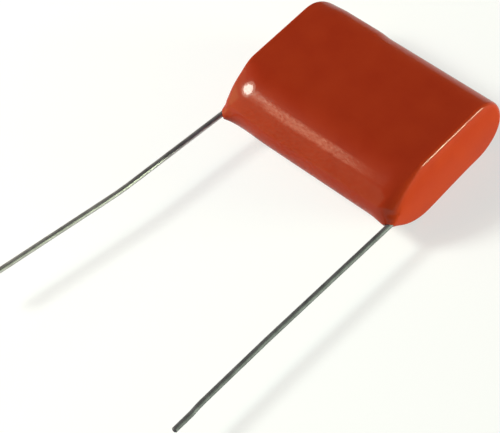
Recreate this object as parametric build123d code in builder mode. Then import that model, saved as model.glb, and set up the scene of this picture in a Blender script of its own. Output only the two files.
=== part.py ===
from build123d import *
from math import atan2, cos, degrees, radians, sin, sqrt, tan
import os

os.makedirs("parts", exist_ok=True)

# Radial film capacitor lying on one broad face, in millimetres.
# The origin is on the underside, midway between the leads and midway across the body.
# +X runs from the left lead to the right one, the leads leave towards -Y, and +Z is up.

# Leads: stiff tinned wire at a standard pitch, splayed a little where it leaves the coat.
lead_pitch = 22.5
lead_diameter = 0.6
lead_bend_depth = 0.6  # the first bend is this far inside the coat
exit_bend_radius = 4.0
outer_bend_radius = 40.0
lead_tip_round = 0.12
left_lead_drop = 0.1  # how far the wire lies below mid thickness
left_near_run = 13.9  # from the coat to the wire's outer bend
left_far_run = 16.4  # from there to its tip
left_near_angle = 5.4  # degrees outward
left_far_angle = 10.2
right_lead_drop = 0.75
right_near_run = 17.4
right_far_run = 12.9
right_near_angle = -1.4  # below zero leans inward
right_far_angle = -0.6

# Winding of pressed film, with a sprayed metal layer on each end that the wire is welded to.
spray_thick = 0.5
lead_sink = 0.15  # depth of the wire's groove in the spray
weld_stop = 4.0  # spray left clear past the wire's inner end

# Epoxy coat: a flat oval across X, half round at the back and drawn out on the lead side.
body_height = 17.7
body_thick = 7.8
lead_side_round = 5.8  # depth of the half oval on the lead side
nose_radius = 2.2  # the half oval's middle arc
coat_wall = 0.7
lead_side_wall = 1.6
end_cover = 0.15  # coat outside the wire at each end
end_edge_radius = 0.6

# Skirt of epoxy that the dip leaves on each wire.
skirt_root_radius = 1.5
skirt_film = 0.06  # coat on the wire at the skirt's tip
skirt_bury = 0.2
left_skirt_reach = 0.4
right_skirt_reach = 0.4
skirt_taper_power = 3
skirt_station_shares = (0, 0.25, 0.5, 0.75, 1)

# Sizes that follow from those above.
body_length = lead_pitch + lead_diameter + 2 * end_cover
mid_height = body_thick / 2
lead_side = -body_height / 2
lead_bend_y = lead_side + lead_bend_depth
film_width = lead_pitch - lead_diameter + 2 * lead_sink - 2 * spray_thick
winding_thick = body_thick - 2 * coat_wall
winding_height = body_height - coat_wall - lead_side_wall
winding_centre = (lead_side_wall - coat_wall) / 2
weld_end = winding_centre + winding_height / 2 - weld_stop

# The half oval is three arcs: a shoulder from each broad face, and the nose that joins them.
shoulder_y = lead_side + lead_side_round
nose_y = lead_side + nose_radius
nose_depth = lead_side_round - nose_radius
shoulder_radius = (mid_height**2 + nose_depth**2 - nose_radius**2) / (2 * (mid_height - nose_radius))
shoulder_turn = degrees(atan2(nose_depth, shoulder_radius - mid_height))

# Each end's place along X, its wire's level, its wire as runs of length and splay, and its skirt.
sides = {"left": -1, "right": 1}
lead_height = {"left": mid_height - left_lead_drop, "right": mid_height - right_lead_drop}
runs = {
    "left": (
        (left_near_run + lead_bend_depth, left_near_angle),
        (left_far_run, left_far_angle),
    ),
    "right": (
        (right_near_run + lead_bend_depth, right_near_angle),
        (right_far_run, right_far_angle),
    ),
}
skirt_reach = {"left": left_skirt_reach, "right": right_skirt_reach}


def lead_points(name):
    # Corners of a wire on its own level: inner end, bend inside the coat, then the end of each run.
    x = sides[name] * lead_pitch / 2
    y = lead_bend_y
    points = [(x, weld_end), (x, y)]
    for length, splay in runs[name]:
        x += sides[name] * length * sin(radians(splay))
        y -= length * cos(radians(splay))
        points.append((x, y))
    return points


def lead_side_at(rise):
    # Where the half oval's surface lies along Y, at a height above or below mid thickness.
    if abs(rise) < nose_radius * cos(radians(shoulder_turn)):
        return nose_y - sqrt(nose_radius**2 - rise**2)
    return shoulder_y - sqrt(shoulder_radius**2 - (abs(rise) + shoulder_radius - mid_height) ** 2)


# Wires
leads = {}
for name in sides:
    with BuildPart() as lead:
        with BuildLine(Plane.XY.offset(lead_height[name])) as route:
            bends = (exit_bend_radius, outer_bend_radius)
            FilletPolyline(*lead_points(name), radius=bends)
        with BuildSketch(Plane(origin=route.line @ 0, z_dir=route.line % 0)):
            Circle(lead_diameter / 2)
        sweep()
        fillet(lead.faces().sort_by(Axis.Y)[0].edges(), lead_tip_round)
    lead.part.label = f"{name}_lead"
    leads[name] = lead.part

# Film winding
with BuildPart() as film_winding:
    with BuildSketch(Plane.YZ):
        with Locations((winding_centre, mid_height)):
            SlotOverall(winding_height, winding_thick)
    extrude(amount=film_width / 2, both=True)
film_winding.part.label = "film_winding"

# Sprayed ends, grooved for the wires
sprays = {}
for name, side in sides.items():
    with BuildPart() as spray:
        with BuildSketch(Plane.YZ.offset(side * film_width / 2)):
            with Locations((winding_centre, mid_height)):
                SlotOverall(winding_height, winding_thick)
        extrude(amount=side * spray_thick)
        add(leads[name], mode=Mode.SUBTRACT)
    spray.part.label = f"{name}_end_spray"
    sprays[name] = spray.part

# Coat: oval body with rolled ends and a skirt on each wire, hollowed for all that it covers
with BuildPart() as epoxy_coating:
    with BuildSketch(Plane.YZ):
        with BuildLine():
            upper_centre = (shoulder_y, body_thick - shoulder_radius)
            lower_centre = (shoulder_y, shoulder_radius)
            upper = CenterArc(upper_centre, shoulder_radius, 90, shoulder_turn)
            nose = CenterArc((nose_y, mid_height), nose_radius, 90 + shoulder_turn, 180 - 2 * shoulder_turn)
            lower = CenterArc(lower_centre, shoulder_radius, 270 - shoulder_turn, shoulder_turn)
            back = CenterArc((-lead_side - mid_height, mid_height), mid_height, -90, 180)
            Line(lower @ 1, back @ 0)
            Line(back @ 1, upper @ 0)
        make_face()
    extrude(amount=body_length / 2, both=True)
    end_faces = epoxy_coating.faces().filter_by(Plane.YZ)
    fillet(end_faces.edges(), end_edge_radius)

    tip_radius = lead_diameter / 2 + skirt_film
    swell = skirt_root_radius - tip_radius
    for name, side in sides.items():
        # The root circle lies deep enough to start inside the half oval all round.
        root_y = lead_side_at(mid_height - lead_height[name] + skirt_root_radius) + skirt_bury
        tip_y = lead_side - skirt_reach[name]
        slope = tan(radians(runs[name][0][1]))
        for share in skirt_station_shares:
            fade = (1 - share) ** skirt_taper_power
            y = root_y + share * (tip_y - root_y)
            wire_x = lead_pitch / 2 + slope * max(0, lead_bend_y - y)
            centre = (side * (wire_x - swell * fade), y, lead_height[name])
            with BuildSketch(Plane(origin=centre, z_dir=(0, -1, 0))):
                Circle(tip_radius + swell * fade)
        loft()

    add(film_winding.part, mode=Mode.SUBTRACT)
    for name in sides:
        add(sprays[name], mode=Mode.SUBTRACT)
        add(leads[name], mode=Mode.SUBTRACT)
epoxy_coating.part.label = "epoxy_coating"

# One file per piece
export_step(epoxy_coating.part, "parts/epoxy_coating.step")
export_step(film_winding.part, "parts/film_winding.step")
for name in sides:
    export_step(sprays[name], f"parts/{name}_end_spray.step")
    export_step(leads[name], f"parts/{name}_lead.step")
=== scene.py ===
import bpy
import numpy as np
from mathutils import Matrix, Vector


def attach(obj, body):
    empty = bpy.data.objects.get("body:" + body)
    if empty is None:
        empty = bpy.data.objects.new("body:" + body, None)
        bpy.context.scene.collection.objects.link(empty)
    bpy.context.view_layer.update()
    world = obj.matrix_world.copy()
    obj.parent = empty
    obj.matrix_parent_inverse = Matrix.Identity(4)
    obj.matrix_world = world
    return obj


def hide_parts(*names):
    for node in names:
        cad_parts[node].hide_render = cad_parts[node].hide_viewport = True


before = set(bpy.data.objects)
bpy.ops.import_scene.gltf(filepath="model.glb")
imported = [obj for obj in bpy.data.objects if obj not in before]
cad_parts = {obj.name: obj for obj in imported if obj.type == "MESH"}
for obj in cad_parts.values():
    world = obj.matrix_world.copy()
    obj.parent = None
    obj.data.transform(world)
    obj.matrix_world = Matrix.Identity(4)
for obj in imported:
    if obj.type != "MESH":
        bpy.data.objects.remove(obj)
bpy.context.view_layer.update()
mm = 0.001  # in metres
print("frame loaded:", sorted(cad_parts))

# the camera that fits the photo, lengths in mm and angles in degrees
shot = {
    "pixelsWide": 500,
    "turn": 50.85,  # round Z, where 0 looks along +Y
    "lift": 53.55,  # above the floor
    "roll": -10.0,
    "distance": 208.9,
    "aside": 11.34,  # body's centre right of the picture's centre
    "above": 10.65,
    "pixelsPerMm": 9.708,  # at the body's centre
    "sensor": 36.0,
    "clipStart": 10.0,
}


def aimCamera(s, middle):
    # three axes from turn and lift, rolled about the line of sight, then set back along it
    turn, lift, roll = np.radians([s["turn"], s["lift"], s["roll"]])
    back = np.array([np.sin(turn) * np.cos(lift), -np.cos(turn) * np.cos(lift), np.sin(lift)])
    level = np.array([np.cos(turn), np.sin(turn), 0.0])
    upright = np.cross(back, level)
    right = np.cos(roll) * level + np.sin(roll) * upright
    up = np.cos(roll) * upright - np.sin(roll) * level
    place = middle + s["distance"] * back - s["aside"] * right - s["above"] * up
    data = bpy.data.cameras.new("photoCamera")
    data.sensor_width = s["sensor"]
    data.lens = s["pixelsPerMm"] * s["distance"] / s["pixelsWide"] * s["sensor"]
    data.clip_start = s["clipStart"] * mm
    cam = bpy.data.objects.new("photoCamera", data)
    pose = np.eye(4)
    pose[:3, 0], pose[:3, 1], pose[:3, 2] = right, up, back
    pose[:3, 3] = place * mm
    cam.matrix_world = Matrix(pose.tolist())
    bpy.context.scene.collection.objects.link(cam)
    bpy.context.scene.camera = cam


def addPiece(name, verts, faces, uvs=None):
    # verts in mm, faces as lists of vertex numbers, uvs one pair per face corner
    mesh = bpy.data.meshes.new(name)
    mesh.from_pydata((np.asarray(verts) * mm).tolist(), [], faces)
    mesh.polygons.foreach_set("use_smooth", np.ones(len(mesh.polygons), bool))
    if uvs is not None:
        mesh.uv_layers.new(name="along").data.foreach_set("uv", np.asarray(uvs, np.float32).ravel())
    mesh.update()
    obj = bpy.data.objects.new(name, mesh)
    bpy.context.scene.collection.objects.link(obj)
    return obj


def ringQuads(rows, cols):
    # quads of a grid whose columns close on themselves
    i, j = np.meshgrid(np.arange(rows - 1), np.arange(cols), indexing="ij")
    k = (j + 1) % cols
    quads = np.stack([i * cols + j, i * cols + k, (i + 1) * cols + k, (i + 1) * cols + j], -1)
    return quads.reshape(-1, 4)


def ease(t):
    # three times the square less twice the cube, held at 0 before the start and at 1 past the end
    t = np.clip(t, 0.0, 1.0)
    return t * t * (3.0 - 2.0 * t)


# wires, sizes in mm and angles in degrees; the route is the frame's own
wire = {
    "pitch": 22.5,
    "radius": 0.3,
    "innerEnd": 4.15,  # where the welded stretch starts along Y
    "bendAt": -8.25,  # first bend, just inside the coat
    "exitBend": 0.4,  # length of the first bend
    "tipRound": 0.12,
    "nickBack": 3.0,  # a small nick, this far before the tip
    "nickLong": 0.6,
    "step": 0.1,
    "around": 32,
}
wireEnds = {
    "left": {
        "side": -1,
        "height": 3.8,
        "runs": (14.5, 16.39),  # from the first bend to the outer one, and from there to the tip
        "splay": (5.4, 10.2),  # each run's turn outwards
        "outerBend": 3.35,  # length of the outer bend
        "jog": 0.0,  # sideways step at the nick
    },
    "right": {
        "side": 1,
        "height": 3.15,
        "runs": (18.0, 12.9),
        "splay": (-1.4, -0.6),
        "outerBend": 0.6,
        "jog": 0.1,
    },
}


def wirePath(w, end):
    # centre line: steps of one length, summed along a heading that eases from run to run
    weld = w["innerEnd"] - w["bendAt"]
    total = weld + sum(end["runs"])
    s = np.linspace(0.0, total, int(total / w["step"]) + 1)
    near, far = np.radians(end["splay"])
    atExit = ease((s - weld) / w["exitBend"] + 0.5)
    atOuter = ease((s - weld - end["runs"][0]) / end["outerBend"] + 0.5)
    heading = near * atExit + (far - near) * atOuter
    # the nick is a bell curve in the heading, whose area is the jog
    offset = (s - total + w["nickBack"]) / w["nickLong"]
    bell = np.exp(-(offset**2)) / (w["nickLong"] * np.sqrt(np.pi))
    heading = heading + end["jog"] * bell
    ds = np.diff(s)
    mid = (heading[1:] + heading[:-1]) / 2
    x = end["side"] * (w["pitch"] / 2 + np.concatenate([[0.0], np.cumsum(np.sin(mid) * ds)]))
    y = w["innerEnd"] - np.concatenate([[0.0], np.cumsum(np.cos(mid) * ds)])
    return s, np.stack([x, y, np.full_like(x, end["height"])], -1)


def wireSurface(w, end):
    # a circle carried along the centre line, drawn in by a quarter round at both cut ends
    s, path = wirePath(w, end)
    tangent = np.gradient(path, s, axis=0)
    tangent /= np.linalg.norm(tangent, axis=1)[:, None]
    inset = np.clip(w["tipRound"] - np.minimum(s, s[-1] - s), 0.0, w["tipRound"])
    radius = w["radius"] - w["tipRound"] + np.sqrt(w["tipRound"] ** 2 - inset**2)
    up = np.array([0.0, 0.0, 1.0])
    out = np.cross(up, tangent)
    angle = np.linspace(0.0, 2 * np.pi, w["around"], endpoint=False)
    ring = np.cos(angle)[None, :, None] * out[:, None, :] + np.sin(angle)[None, :, None] * up
    verts = (path[:, None, :] + radius[:, None, None] * ring).reshape(-1, 3)
    rows, cols = len(s), w["around"]
    quads = ringQuads(rows, cols)
    last = (rows - 1) * cols
    caps = [list(range(cols))[::-1], list(range(last, last + cols))]
    # u goes once round the wire, v is the length along it
    i, j = np.divmod(np.arange(len(quads)), cols)
    u = np.stack([j, j + 1, j + 1, j], -1) / cols
    v = s[np.stack([i, i, i + 1, i + 1], -1)]
    uvs = np.concatenate([np.stack([u, v], -1).reshape(-1, 2), np.zeros((2 * cols, 2))])
    return verts, quads.tolist() + caps, uvs


# epoxy coat, in mm; a direction is the section's own, from 0 to 1 towards -Y or +Z
coat = {
    "length": 23.4,
    "height": 17.7,
    "thick": 7.8,
    "leadSideDepth": 5.8,
    "noseRadius": 2.2,
    "flatEdge": 0.4,  # roll of the end edge along the upper broad face
    "underEdge": (0.15, 0.65),  # along the underside, from the lead side to the back
    "noseEdge": {"left": 1.25, "right": 1.3},  # round the lead side
    "noseLong": {"left": 1.0, "right": 1.8},  # there the roll is this much longer along X than it is deep
    "noseLongFull": 0.7,  # direction towards -Y at which it is that long
    "backEdge": {"left": 1.5, "right": 0.85},
    "edgePower": (2.5, 1.5),  # how soon the roll grows off the upper and the lower face
    "bulge": {"left": (0.0, 0.0), "right": (0.3, 0.17)},  # the end's middle past its two edges
    "droop": {"left": 0.11, "right": 0.15},  # upper shoulder's curvature along X
    "droopStart": {"left": 8.7, "right": 9.3},
    "droopFull": (0.42, 0.5),  # directions towards -Y and +Z at which the shoulder has all of it
    "waist": {"left": 0.15, "right": 0.0},  # the lead side's fall towards its wire
    "waistSpan": (5.0, 9.0),
    "swell": 0.14,  # low run on the upper back
    "swellRise": (-2.6, -4.2),  # where it starts and is full, along X
    "swellFade": (-8.5, -11.0),
    "backSteps": 24,
    "flatSteps": 30,
    "shoulderSteps": 44,
    "shoulderCrowd": 1.5,  # power that sets the steps closer towards the nose
    "noseSteps": 36,
    "rollSteps": 28,
    "middleShare": 0.72,  # of half the length, where rows lie wider apart
    "bodyRows": (18, 42),  # in that share, and in the rest
    "endRows": 20,
    "skirtSpread": 2.1,
    "skirtInward": 1.7,  # how much further it spreads towards the body's middle
    "skirtPower": 3.4,
    "skirtReach": {"left": 0.5, "right": 0.4},
    "skirtFilm": 0.05,
    "skirtDeep": 3.4,  # no point this far behind the nose is drawn out
    "skirtFade": 2.2,
}


def halfOval(c):
    # from the back's middle: quarter round, broad face, shoulder arc, half of the nose arc;
    # each point has its place and its outward direction in Y and Z
    b, a, r = c["thick"] / 2, c["leadSideDepth"], c["noseRadius"]
    big = (b * b + (a - r) ** 2 - r * r) / (2 * (b - r))
    turn = np.arctan2(a - r, big - b)
    yBack, yFlat, yNose = c["height"] / 2 - b, a - c["height"] / 2, r - c["height"] / 2
    t = np.linspace(0.0, np.pi / 2, c["backSteps"], endpoint=False)
    back = np.stack([yBack + b * np.cos(t), b * np.sin(t), np.cos(t), np.sin(t)], -1)
    y = np.linspace(yBack, yFlat, c["flatSteps"], endpoint=False)
    flat = np.stack([y, np.full_like(y, b), np.zeros_like(y), np.ones_like(y)], -1)
    rest = 1.0 - np.linspace(0.0, 1.0, c["shoulderSteps"], endpoint=False)
    t = turn * (1.0 - rest ** c["shoulderCrowd"])
    shoulder = np.stack([yFlat - big * np.sin(t), b - big + big * np.cos(t), -np.sin(t), np.cos(t)], -1)
    t = np.linspace(turn, np.pi / 2, c["noseSteps"])
    nose = np.stack([yNose - r * np.sin(t), r * np.cos(t), -np.sin(t), np.cos(t)], -1)
    return np.concatenate([back, flat, shoulder, nose])


def coatGrid(c, loop):
    # the oval loop carried along X, moved in along its own direction by a sum of four forms: near both
    # ends a quarter round, whose radius follows that direction, and a fall of the upper shoulder by the
    # square of the distance; by the left wire an eased waist; and outwards, a low eased run on the
    # upper back
    y, z, yOut, zOut = loop.T
    above = zOut > 0
    leadSide = yOut < 0
    low, high = c["underEdge"]
    under = low + (high - low) * ease((y + c["height"] / 4) / (c["height"] / 2))
    face = np.where(above, c["flatEdge"], under)
    growth = np.abs(yOut) ** np.where(above, *c["edgePower"])

    # rows from the left end to the right one: the roll's steps, the body's, and the roll's again
    share, (wide, close) = c["middleShare"], c["bodyRows"]
    body = np.concatenate([np.linspace(0.0, share, wide, endpoint=False), np.linspace(share, 1.0, close)])
    body = np.concatenate([-body[:0:-1], body])
    lift = np.linspace(0.0, np.pi / 2, c["rollSteps"] + 1)[1:]
    along = np.concatenate([-np.ones(len(lift)), body, np.ones(len(lift))])[:, None]
    lift = np.concatenate([lift[::-1], np.zeros(len(body)), lift])[:, None]

    # each end's own dome, roll and the roll's length along X
    dome, roll, stretch = np.zeros((3, len(along), len(loop)))
    for name, end in wireEnds.items():
        here = end["side"] * along > 0
        dome = np.where(here, np.where(above, *c["bulge"][name]) * zOut**2, dome)
        side = np.where(leadSide, c["noseEdge"][name], c["backEdge"][name])
        roll = np.where(here, face + (side - face) * growth, roll)
        longer = 1.0 + (c["noseLong"][name] - 1.0) * ease(-yOut / c["noseLongFull"])
        stretch = np.where(here, longer, stretch)
    # the roll stops at the dome's own slope there, 4 domes to a thickness, as a share of a quarter turn
    lift = lift * (1.0 - dome * 8.0 / (np.pi * c["thick"]))
    x = along * (c["length"] / 2 - roll * stretch - dome) + np.sign(along) * roll * stretch * np.sin(lift)
    inset = roll * (1.0 - np.cos(lift))

    yFull, zFull = c["droopFull"]
    shoulder = ease(-yOut / yFull) * ease(zOut / zFull)
    nose = np.where(leadSide, yOut**4, 0.0)
    waistStart, waistFull = c["waistSpan"]
    for name, end in wireEnds.items():
        out = end["side"] * x
        past = np.clip(out - c["droopStart"][name], 0.0, None)
        inset = inset + c["droop"][name] / 2 * shoulder * past**2
        inset = inset + c["waist"][name] * nose * ease((out - waistStart) / (waistFull - waistStart))

    # the run is highest halfway up the back's upper quarter
    start, full = c["swellRise"]
    fade, gone = c["swellFade"]
    run = ease((x - start) / (full - start)) * ease((x - gone) / (fade - gone))
    upperBack = np.where((yOut > 0) & above, 4.0 * (yOut * zOut) ** 2, 0.0)
    inset = inset - c["swell"] * upperBack * run
    return np.stack([x, y - yOut * inset, z - zOut * inset + c["thick"] / 2], -1), dome


def drawnOut(c, p):
    # skirts: points near a wire slide along it by a power of their nearness, none past the spread
    tip = wire["radius"] + c["skirtFilm"]
    for name, end in wireEnds.items():
        dx = p[:, 0] - end["side"] * wire["pitch"] / 2
        dz = p[:, 2] - end["height"]
        gap = np.hypot(np.where(dx * end["side"] < 0, dx / c["skirtInward"], dx), dz)
        rise = np.clip((c["skirtSpread"] - gap) / (c["skirtSpread"] - tip), 0.0, 1.0) ** c["skirtPower"]
        nearNose = ease((-c["height"] / 2 + c["skirtDeep"] - p[:, 1]) / c["skirtFade"])
        slide = c["skirtReach"][name] * rise * nearNose
        splay = np.radians(end["splay"][0])
        p[:, 0] += end["side"] * np.sin(splay) * slide
        p[:, 1] -= np.cos(splay) * slide
    return p


def coatSurface(c):
    # the grid, closed at each end by straight rows between the upper and the lower half of its edge,
    # domed by the square of the distance from their middle
    half = halfOval(c)
    n = len(half)
    mirrored = np.array([1.0, -1.0, 1.0, -1.0])
    loop = np.concatenate([half, half[-2:0:-1] * mirrored])
    grid, dome = coatGrid(c, loop)
    rows, cols = grid.shape[:2]
    verts = [grid.reshape(-1, 3)]
    faces = ringQuads(rows, cols).tolist()
    count = rows * cols
    upper = np.arange(1, n - 1)  # the edge's upper half without its tips, and the points under it
    lower = cols - upper
    share = np.linspace(0.0, 1.0, c["endRows"] + 1)[1:-1, None]
    for row, side in ((0, -1.0), (rows - 1, 1.0)):
        edge, edgeDome = grid[row], dome[row]
        inner = edge[upper] * (1.0 - share[..., None]) + edge[lower] * share[..., None]
        fall = np.where(share < 0.5, edgeDome[upper], edgeDome[lower]) * (2.0 * share - 1.0) ** 2
        inner[..., 0] = side * (c["length"] / 2 - fall)
        verts.append(inner.reshape(-1, 3))
        number = count + np.arange(fall.size).reshape(fall.shape)
        count += fall.size
        full = np.concatenate([row * cols + upper[None], number, row * cols + lower[None]])
        quads = np.stack([full[:-1, :-1], full[1:, :-1], full[1:, 1:], full[:-1, 1:]], -1).reshape(-1, 4)
        backTip = np.full(len(full) - 1, row * cols)
        noseTip = backTip + n - 1
        fans = np.concatenate([
            np.stack([backTip, full[1:, 0], full[:-1, 0]], -1),
            np.stack([noseTip, full[:-1, -1], full[1:, -1]], -1),
        ])
        if side > 0:
            quads, fans = quads[:, ::-1], fans[:, ::-1]
        faces += quads.tolist() + fans.tolist()
    return drawnOut(c, np.concatenate(verts)), faces


# shader helpers
def addNode(tree, kind, values=(), **settings):
    node = tree.nodes.new(kind)
    for key, value in settings.items():
        setattr(node, key, value)
    for key, value in dict(values).items():
        node.inputs[key].default_value = value
    return node


def mottleGroup():
    # soft cloudy mask: noise stretched between two levels
    tree = bpy.data.node_groups.new("softMottle", "ShaderNodeTree")
    tree.interface.new_socket("Vector", in_out="INPUT", socket_type="NodeSocketVector")
    for name in ("Scale", "Detail", "Low", "High"):
        tree.interface.new_socket(name, in_out="INPUT", socket_type="NodeSocketFloat")
    tree.interface.new_socket("Mask", in_out="OUTPUT", socket_type="NodeSocketFloat")
    into = addNode(tree, "NodeGroupInput")
    out = addNode(tree, "NodeGroupOutput")
    noise = addNode(tree, "ShaderNodeTexNoise")
    level = addNode(tree, "ShaderNodeMapRange")
    for name in ("Vector", "Scale", "Detail"):
        tree.links.new(into.outputs[name], noise.inputs[name])
    tree.links.new(noise.outputs["Fac"], level.inputs["Value"])
    tree.links.new(into.outputs["Low"], level.inputs["From Min"])
    tree.links.new(into.outputs["High"], level.inputs["From Max"])
    tree.links.new(level.outputs["Result"], out.inputs["Mask"])
    return tree


mottle = mottleGroup()


def startMaterial(name):
    mat = bpy.data.materials.new(name)
    mat.use_nodes = True
    tree = mat.node_tree
    tree.nodes.clear()
    out = addNode(tree, "ShaderNodeOutputMaterial")
    shader = addNode(tree, "ShaderNodeBsdfPrincipled")
    tree.links.new(shader.outputs["BSDF"], out.inputs["Surface"])
    where = addNode(tree, "ShaderNodeTexCoord")
    return mat, tree, shader, where


def addMottle(tree, vector, m):
    low, high = m["levels"]
    values = {"Scale": m["scale"], "Detail": m["detail"], "Low": low, "High": high}
    node = addNode(tree, "ShaderNodeGroup", values, node_tree=mottle)
    tree.links.new(vector, node.inputs["Vector"])
    return node.outputs["Mask"]


def blendColours(tree, mask, low, high):
    mix = addNode(tree, "ShaderNodeMix", data_type="RGBA")
    mix.inputs["A"].default_value = (*low, 1.0)
    mix.inputs["B"].default_value = (*high, 1.0)
    tree.links.new(mask, mix.inputs["Factor"])
    return mix.outputs["Result"]


def blendValues(tree, mask, low, high):
    node = addNode(tree, "ShaderNodeMapRange", {"To Min": low, "To Max": high})
    tree.links.new(mask, node.inputs["Value"])
    return node.outputs["Result"]


def addBump(tree, shader, height, b):
    bump = addNode(tree, "ShaderNodeBump", {"Distance": b["depth"], "Strength": b["strength"]})
    tree.links.new(height, bump.inputs["Height"])
    tree.links.new(bump.outputs["Normal"], shader.inputs["Normal"])


# a pigmented layer under a clear skin; lengths in metres, scales per metre
epoxyLook = {
    "deep": (0.260, 0.0215, 0.0052),
    "bright": (0.280, 0.0255, 0.0062),
    "rough": (0.30, 0.42),
    "specular": 0.02,
    "clouds": {"scale": 260.0, "detail": 4.0, "levels": (0.35, 0.65)},
    "gloss": (0.17, 0.51),  # weight of the skin, from grain to grain
    "grain": {"scale": 3700.0, "detail": 1.0, "levels": (0.3, 0.7)},
    "smoothGloss": 0.39,  # towards both ends the grain runs out
    "smoothFrom": (0.0081, 0.0092),  # distances from the middle along X
    "endGloss": 0.04,  # the flat ends shine less
    "endFrom": (0.01125, 0.01156),
    "skinRough": 0.09,
    "skinIor": 1.5,
    "peel": {"scale": 4200.0, "detail": 2.0, "levels": (0.2, 0.8)},
    "peelBump": {"depth": 0.00001, "strength": 0.35},
}


def dippedEpoxy(look):
    mat, tree, shader, where = startMaterial("dippedEpoxy")
    place = where.outputs["Object"]
    clouds = addMottle(tree, place, look["clouds"])
    tree.links.new(blendColours(tree, clouds, look["deep"], look["bright"]), shader.inputs["Base Color"])
    tree.links.new(blendValues(tree, clouds, *look["rough"]), shader.inputs["Roughness"])
    # clear skin: grainy in the middle, smooth towards the ends, thin on the end faces
    apart = addNode(tree, "ShaderNodeSeparateXYZ")
    reach = addNode(tree, "ShaderNodeMath", operation="ABSOLUTE")
    tree.links.new(place, apart.inputs[0])
    tree.links.new(apart.outputs["X"], reach.inputs[0])
    grain = addMottle(tree, place, look["grain"])
    skin = blendValues(tree, grain, *look["gloss"])
    for zone in ("smooth", "end"):
        start, full = look[zone + "From"]
        fade = addNode(tree, "ShaderNodeMapRange", {"From Min": start, "From Max": full})
        fade.inputs["To Max"].default_value = look[zone + "Gloss"]
        tree.links.new(reach.outputs[0], fade.inputs["Value"])
        tree.links.new(skin, fade.inputs["To Min"])
        skin = fade.outputs["Result"]
    tree.links.new(skin, shader.inputs["Coat Weight"])
    addBump(tree, shader, addMottle(tree, place, look["peel"]), look["peelBump"])
    shader.inputs["Specular IOR Level"].default_value = look["specular"]
    shader.inputs["Coat Roughness"].default_value = look["skinRough"]
    shader.inputs["Coat IOR"].default_value = look["skinIor"]
    return mat


# the same tinned wire twice: the left one's colour is lighter, a painted reflection, and the right one's
# darker, painted shade against the side lamp's highlight; the right one is also rougher
wireLook = {
    "left": {"dark": (0.29, 0.284, 0.284), "light": (0.45, 0.44, 0.44), "rough": (0.34, 0.46)},
    "right": {"dark": (0.088, 0.087, 0.101), "light": (0.142, 0.141, 0.163), "rough": (0.64, 0.78)},
    "drawScale": (60.0, 0.35, 1.0),  # lines are long and thin: turns round the wire, then mm along it
    "lines": {"scale": 1.0, "detail": 2.0, "levels": (0.3, 0.7)},
    "spots": {"scale": 900.0, "detail": 3.0, "levels": (0.35, 0.7)},
    "lineBump": {"depth": 0.00002, "strength": 0.15},
    "metal": 1.0,
}


def tinnedWire(look, name):
    mat, tree, shader, where = startMaterial(name + "TinnedWire")
    # this wire's colour pair: lighter on the left as painted reflection, darker on the right as painted
    # shade
    finish = look[name]
    drawn = addNode(tree, "ShaderNodeMapping", {"Scale": look["drawScale"]})
    tree.links.new(where.outputs["UV"], drawn.inputs["Vector"])
    lines = addMottle(tree, drawn.outputs["Vector"], look["lines"])
    spots = addMottle(tree, where.outputs["Object"], look["spots"])
    colour = blendColours(tree, spots, finish["light"], finish["dark"])
    tree.links.new(colour, shader.inputs["Base Color"])
    tree.links.new(blendValues(tree, lines, *finish["rough"]), shader.inputs["Roughness"])
    addBump(tree, shader, lines, look["lineBump"])
    shader.inputs["Metallic"].default_value = look["metal"]
    return mat


zincLook = {
    "dark": (0.33, 0.33, 0.34),
    "light": (0.56, 0.56, 0.57),
    "rough": (0.7, 0.45),  # from the dark grains to the light ones
    "grain": {"scale": 5000.0, "detail": 4.0, "levels": (0.3, 0.7)},
    "grainBump": {"depth": 0.00004, "strength": 0.5},
    "metal": 1.0,
}


def sprayedZinc(look):
    mat, tree, shader, where = startMaterial("sprayedZinc")
    grain = addMottle(tree, where.outputs["Object"], look["grain"])
    tree.links.new(blendColours(tree, grain, look["dark"], look["light"]), shader.inputs["Base Color"])
    tree.links.new(blendValues(tree, grain, *look["rough"]), shader.inputs["Roughness"])
    addBump(tree, shader, grain, look["grainBump"])
    shader.inputs["Metallic"].default_value = look["metal"]
    return mat


filmLook = {
    "dark": (0.40, 0.41, 0.43),
    "light": (0.66, 0.67, 0.69),
    "rough": (0.18, 0.3),
    "layerScale": (30.0, 9000.0, 9000.0),  # fine across the turns, long along X
    "layers": {"scale": 1.0, "detail": 2.0, "levels": (0.3, 0.7)},
    "layerBump": {"depth": 0.00001, "strength": 0.2},
    "metal": 0.8,
}


def metallisedFilm(look):
    mat, tree, shader, where = startMaterial("metallisedFilm")
    wound = addNode(tree, "ShaderNodeMapping", {"Scale": look["layerScale"]})
    tree.links.new(where.outputs["Object"], wound.inputs["Vector"])
    layers = addMottle(tree, wound.outputs["Vector"], look["layers"])
    tree.links.new(blendColours(tree, layers, look["dark"], look["light"]), shader.inputs["Base Color"])
    tree.links.new(blendValues(tree, layers, *look["rough"]), shader.inputs["Roughness"])
    addBump(tree, shader, layers, look["layerBump"])
    shader.inputs["Metallic"].default_value = look["metal"]
    return mat


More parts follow.
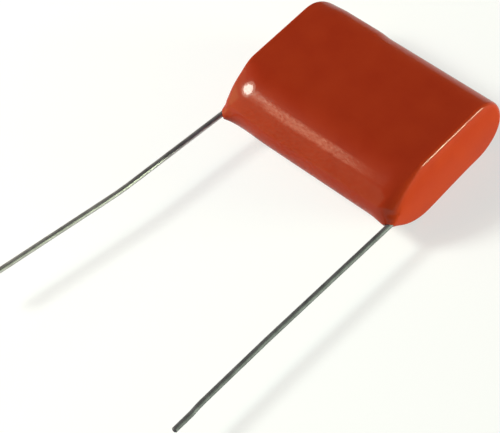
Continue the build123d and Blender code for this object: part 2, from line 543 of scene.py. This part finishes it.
# floor, world and lamps; places in mm, powers in watts
studio = {
    "floorHalf": 900.0,
    "floorColour": (0.87, 0.90, 0.96),
    "floorGlow": 0.56,  # share of plain white that the camera and mirrors see
    "horizon": (0.26, 0.225, 0.11),
    "zenith": (0.10, 0.09, 0.115),
    "paleBand": 0.35,  # how far up the pale horizon fades, from 0 to 1 overhead
    "lampFar": 300.0,  # from the body's middle to every lamp
}
lamps = {
    "keyLamp": {  # the round spot on the shoulder
        "from": (-0.635, -0.42, 0.65), "along": (0, -0.84, -0.54), "size": (74.0, 84.0),
        "shape": "ELLIPSE", "watts": 0.76, "tint": (0.95, 1.0, 0.87),
    },
    "keyHalo": {  # its soft edge
        "from": (-0.635, -0.42, 0.65), "along": (0, -0.84, -0.54), "size": (98.0, 134.0),
        "shape": "ELLIPSE", "watts": 0.30, "tint": (1.0, 0.92, 0.70),
    },
    "strip": {  # the streak along the shoulder
        "from": (-0.4615, -0.556, 0.696), "along": (0, -0.84, -0.54), "size": (30.0, 66.0),
        "shape": "RECTANGLE", "watts": 0.068, "tint": (1.0, 0.60, 0.38),
    },
    "stripEdge": {  # its soft edges
        "from": (-0.4615, -0.556, 0.696), "along": (0, -0.84, -0.54), "size": (31.5, 90.0),
        "shape": "RECTANGLE", "watts": 0.041, "tint": (1.0, 0.60, 0.38),
    },
    "sideBox": {  # lights the right end and its edge
        "from": (0.86, 0.49, 0.07), "along": (0, 0, 1), "size": (130.0, 46.0),
        "shape": "RECTANGLE", "watts": 2.03, "tint": (0.83, 1.0, 0.66),
    },
    "warmCard": {  # pale orange beside the left exit
        "from": (-0.84, -0.485, 0.242), "along": (0, 0, 1), "size": (110.0, 90.0),
        "shape": "RECTANGLE", "watts": 0.053, "tint": (1.0, 0.95, 0.4),
    },
    "fillBox": {  # opens the lead side
        "from": (-0.75, -0.62, 0.20), "along": (0, 0, 1), "size": (420.0, 300.0),
        "shape": "RECTANGLE", "watts": 0.43, "tint": (1.0, 0.98, 0.60),
    },
}


def layFloor(s):
    # matt paper that takes the shadow, mixed with plain white for camera, mirror and glass rays
    h = s["floorHalf"]
    floor = addPiece("floor", [(-h, -h, 0), (h, -h, 0), (h, h, 0), (-h, h, 0)], [(0, 1, 2, 3)])
    mat = bpy.data.materials.new("palePaper")
    mat.use_nodes = True
    tree = mat.node_tree
    tree.nodes.clear()
    out = addNode(tree, "ShaderNodeOutputMaterial")
    matt = addNode(tree, "ShaderNodeBsdfDiffuse", {"Color": (*s["floorColour"], 1.0)})
    glow = addNode(tree, "ShaderNodeEmission", {"Color": (1.0, 1.0, 1.0, 1.0), "Strength": 1.0})
    path = addNode(tree, "ShaderNodeLightPath")
    cameraOrMirror = addNode(tree, "ShaderNodeMath", operation="ADD")
    seen = addNode(tree, "ShaderNodeMath", operation="ADD", use_clamp=True)
    glowShare = addNode(tree, "ShaderNodeMath", {1: s["floorGlow"]}, operation="MULTIPLY")
    mix = addNode(tree, "ShaderNodeMixShader")
    tree.links.new(path.outputs["Is Camera Ray"], cameraOrMirror.inputs[0])
    tree.links.new(path.outputs["Is Glossy Ray"], cameraOrMirror.inputs[1])
    tree.links.new(cameraOrMirror.outputs[0], seen.inputs[0])
    tree.links.new(path.outputs["Is Transmission Ray"], seen.inputs[1])
    tree.links.new(seen.outputs[0], glowShare.inputs[0])
    tree.links.new(glowShare.outputs[0], mix.inputs["Fac"])
    tree.links.new(matt.outputs["BSDF"], mix.inputs[1])
    tree.links.new(glow.outputs["Emission"], mix.inputs[2])
    tree.links.new(mix.outputs["Shader"], out.inputs["Surface"])
    floor.data.materials.append(mat)


def paintWorld(s):
    # pale near the horizon, darker overhead
    world = bpy.data.worlds.new("studioWorld")
    bpy.context.scene.world = world
    world.use_nodes = True
    tree = world.node_tree
    tree.nodes.clear()
    out = addNode(tree, "ShaderNodeOutputWorld")
    sky = addNode(tree, "ShaderNodeBackground", {"Strength": 1.0})
    where = addNode(tree, "ShaderNodeTexCoord")
    apart = addNode(tree, "ShaderNodeSeparateXYZ")
    fade = addNode(tree, "ShaderNodeMapRange", {"From Min": 0.0, "From Max": s["paleBand"]})
    fade.interpolation_type = "SMOOTHSTEP"
    tree.links.new(where.outputs["Generated"], apart.inputs[0])
    tree.links.new(apart.outputs["Z"], fade.inputs["Value"])
    colour = blendColours(tree, fade.outputs["Result"], s["horizon"], s["zenith"])
    tree.links.new(colour, sky.inputs["Color"])
    tree.links.new(sky.outputs["Background"], out.inputs["Surface"])


def hangLamps(settings, far, middle):
    # each lamp faces the body's middle, and its second size lies along the given direction
    for name, lamp in settings.items():
        data = bpy.data.lights.new(name, "AREA")
        data.shape = lamp["shape"]
        data.size, data.size_y = (v * mm for v in lamp["size"])
        data.energy = lamp["watts"]
        data.color = lamp["tint"]
        obj = bpy.data.objects.new(name, data)
        back = Vector(lamp["from"]).normalized()
        side = Vector(lamp["along"]).cross(back).normalized()
        turn = Matrix((side, back.cross(side), back)).transposed()
        obj.matrix_world = Matrix.Translation((Vector(middle) + back * far) * mm) @ turn.to_4x4()
        bpy.context.scene.collection.objects.link(obj)


bodyMiddle = np.array([0.0, 0.0, coat["thick"] / 2])
aimCamera(shot, bodyMiddle)
print("camera aimed")

epoxy = dippedEpoxy(epoxyLook)
zinc = sprayedZinc(zincLook)
film = metallisedFilm(filmLook)
print("materials mixed")

shell = addPiece("dipped_coat", *coatSurface(coat))
shell.data.materials.append(epoxy)
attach(shell, "root")
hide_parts("epoxy_coating")
print("coat:", len(shell.data.polygons), "faces")

for name, end in wireEnds.items():
    lead = addPiece(name + "_wire", *wireSurface(wire, end))
    lead.data.materials.append(tinnedWire(wireLook, name))
    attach(lead, "root")
    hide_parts(name + "_lead")
    print(name, "wire:", len(lead.data.polygons), "faces")

for node, finish in (("film_winding", film), ("left_end_spray", zinc), ("right_end_spray", zinc)):
    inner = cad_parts[node]
    inner.data.materials.clear()
    inner.data.materials.append(finish)
print("winding and sprayed ends dressed")

layFloor(studio)
paintWorld(studio)
hangLamps(lamps, studio["lampFar"], bodyMiddle)
bpy.context.scene.view_settings.view_transform = "Standard"
print("studio lit")
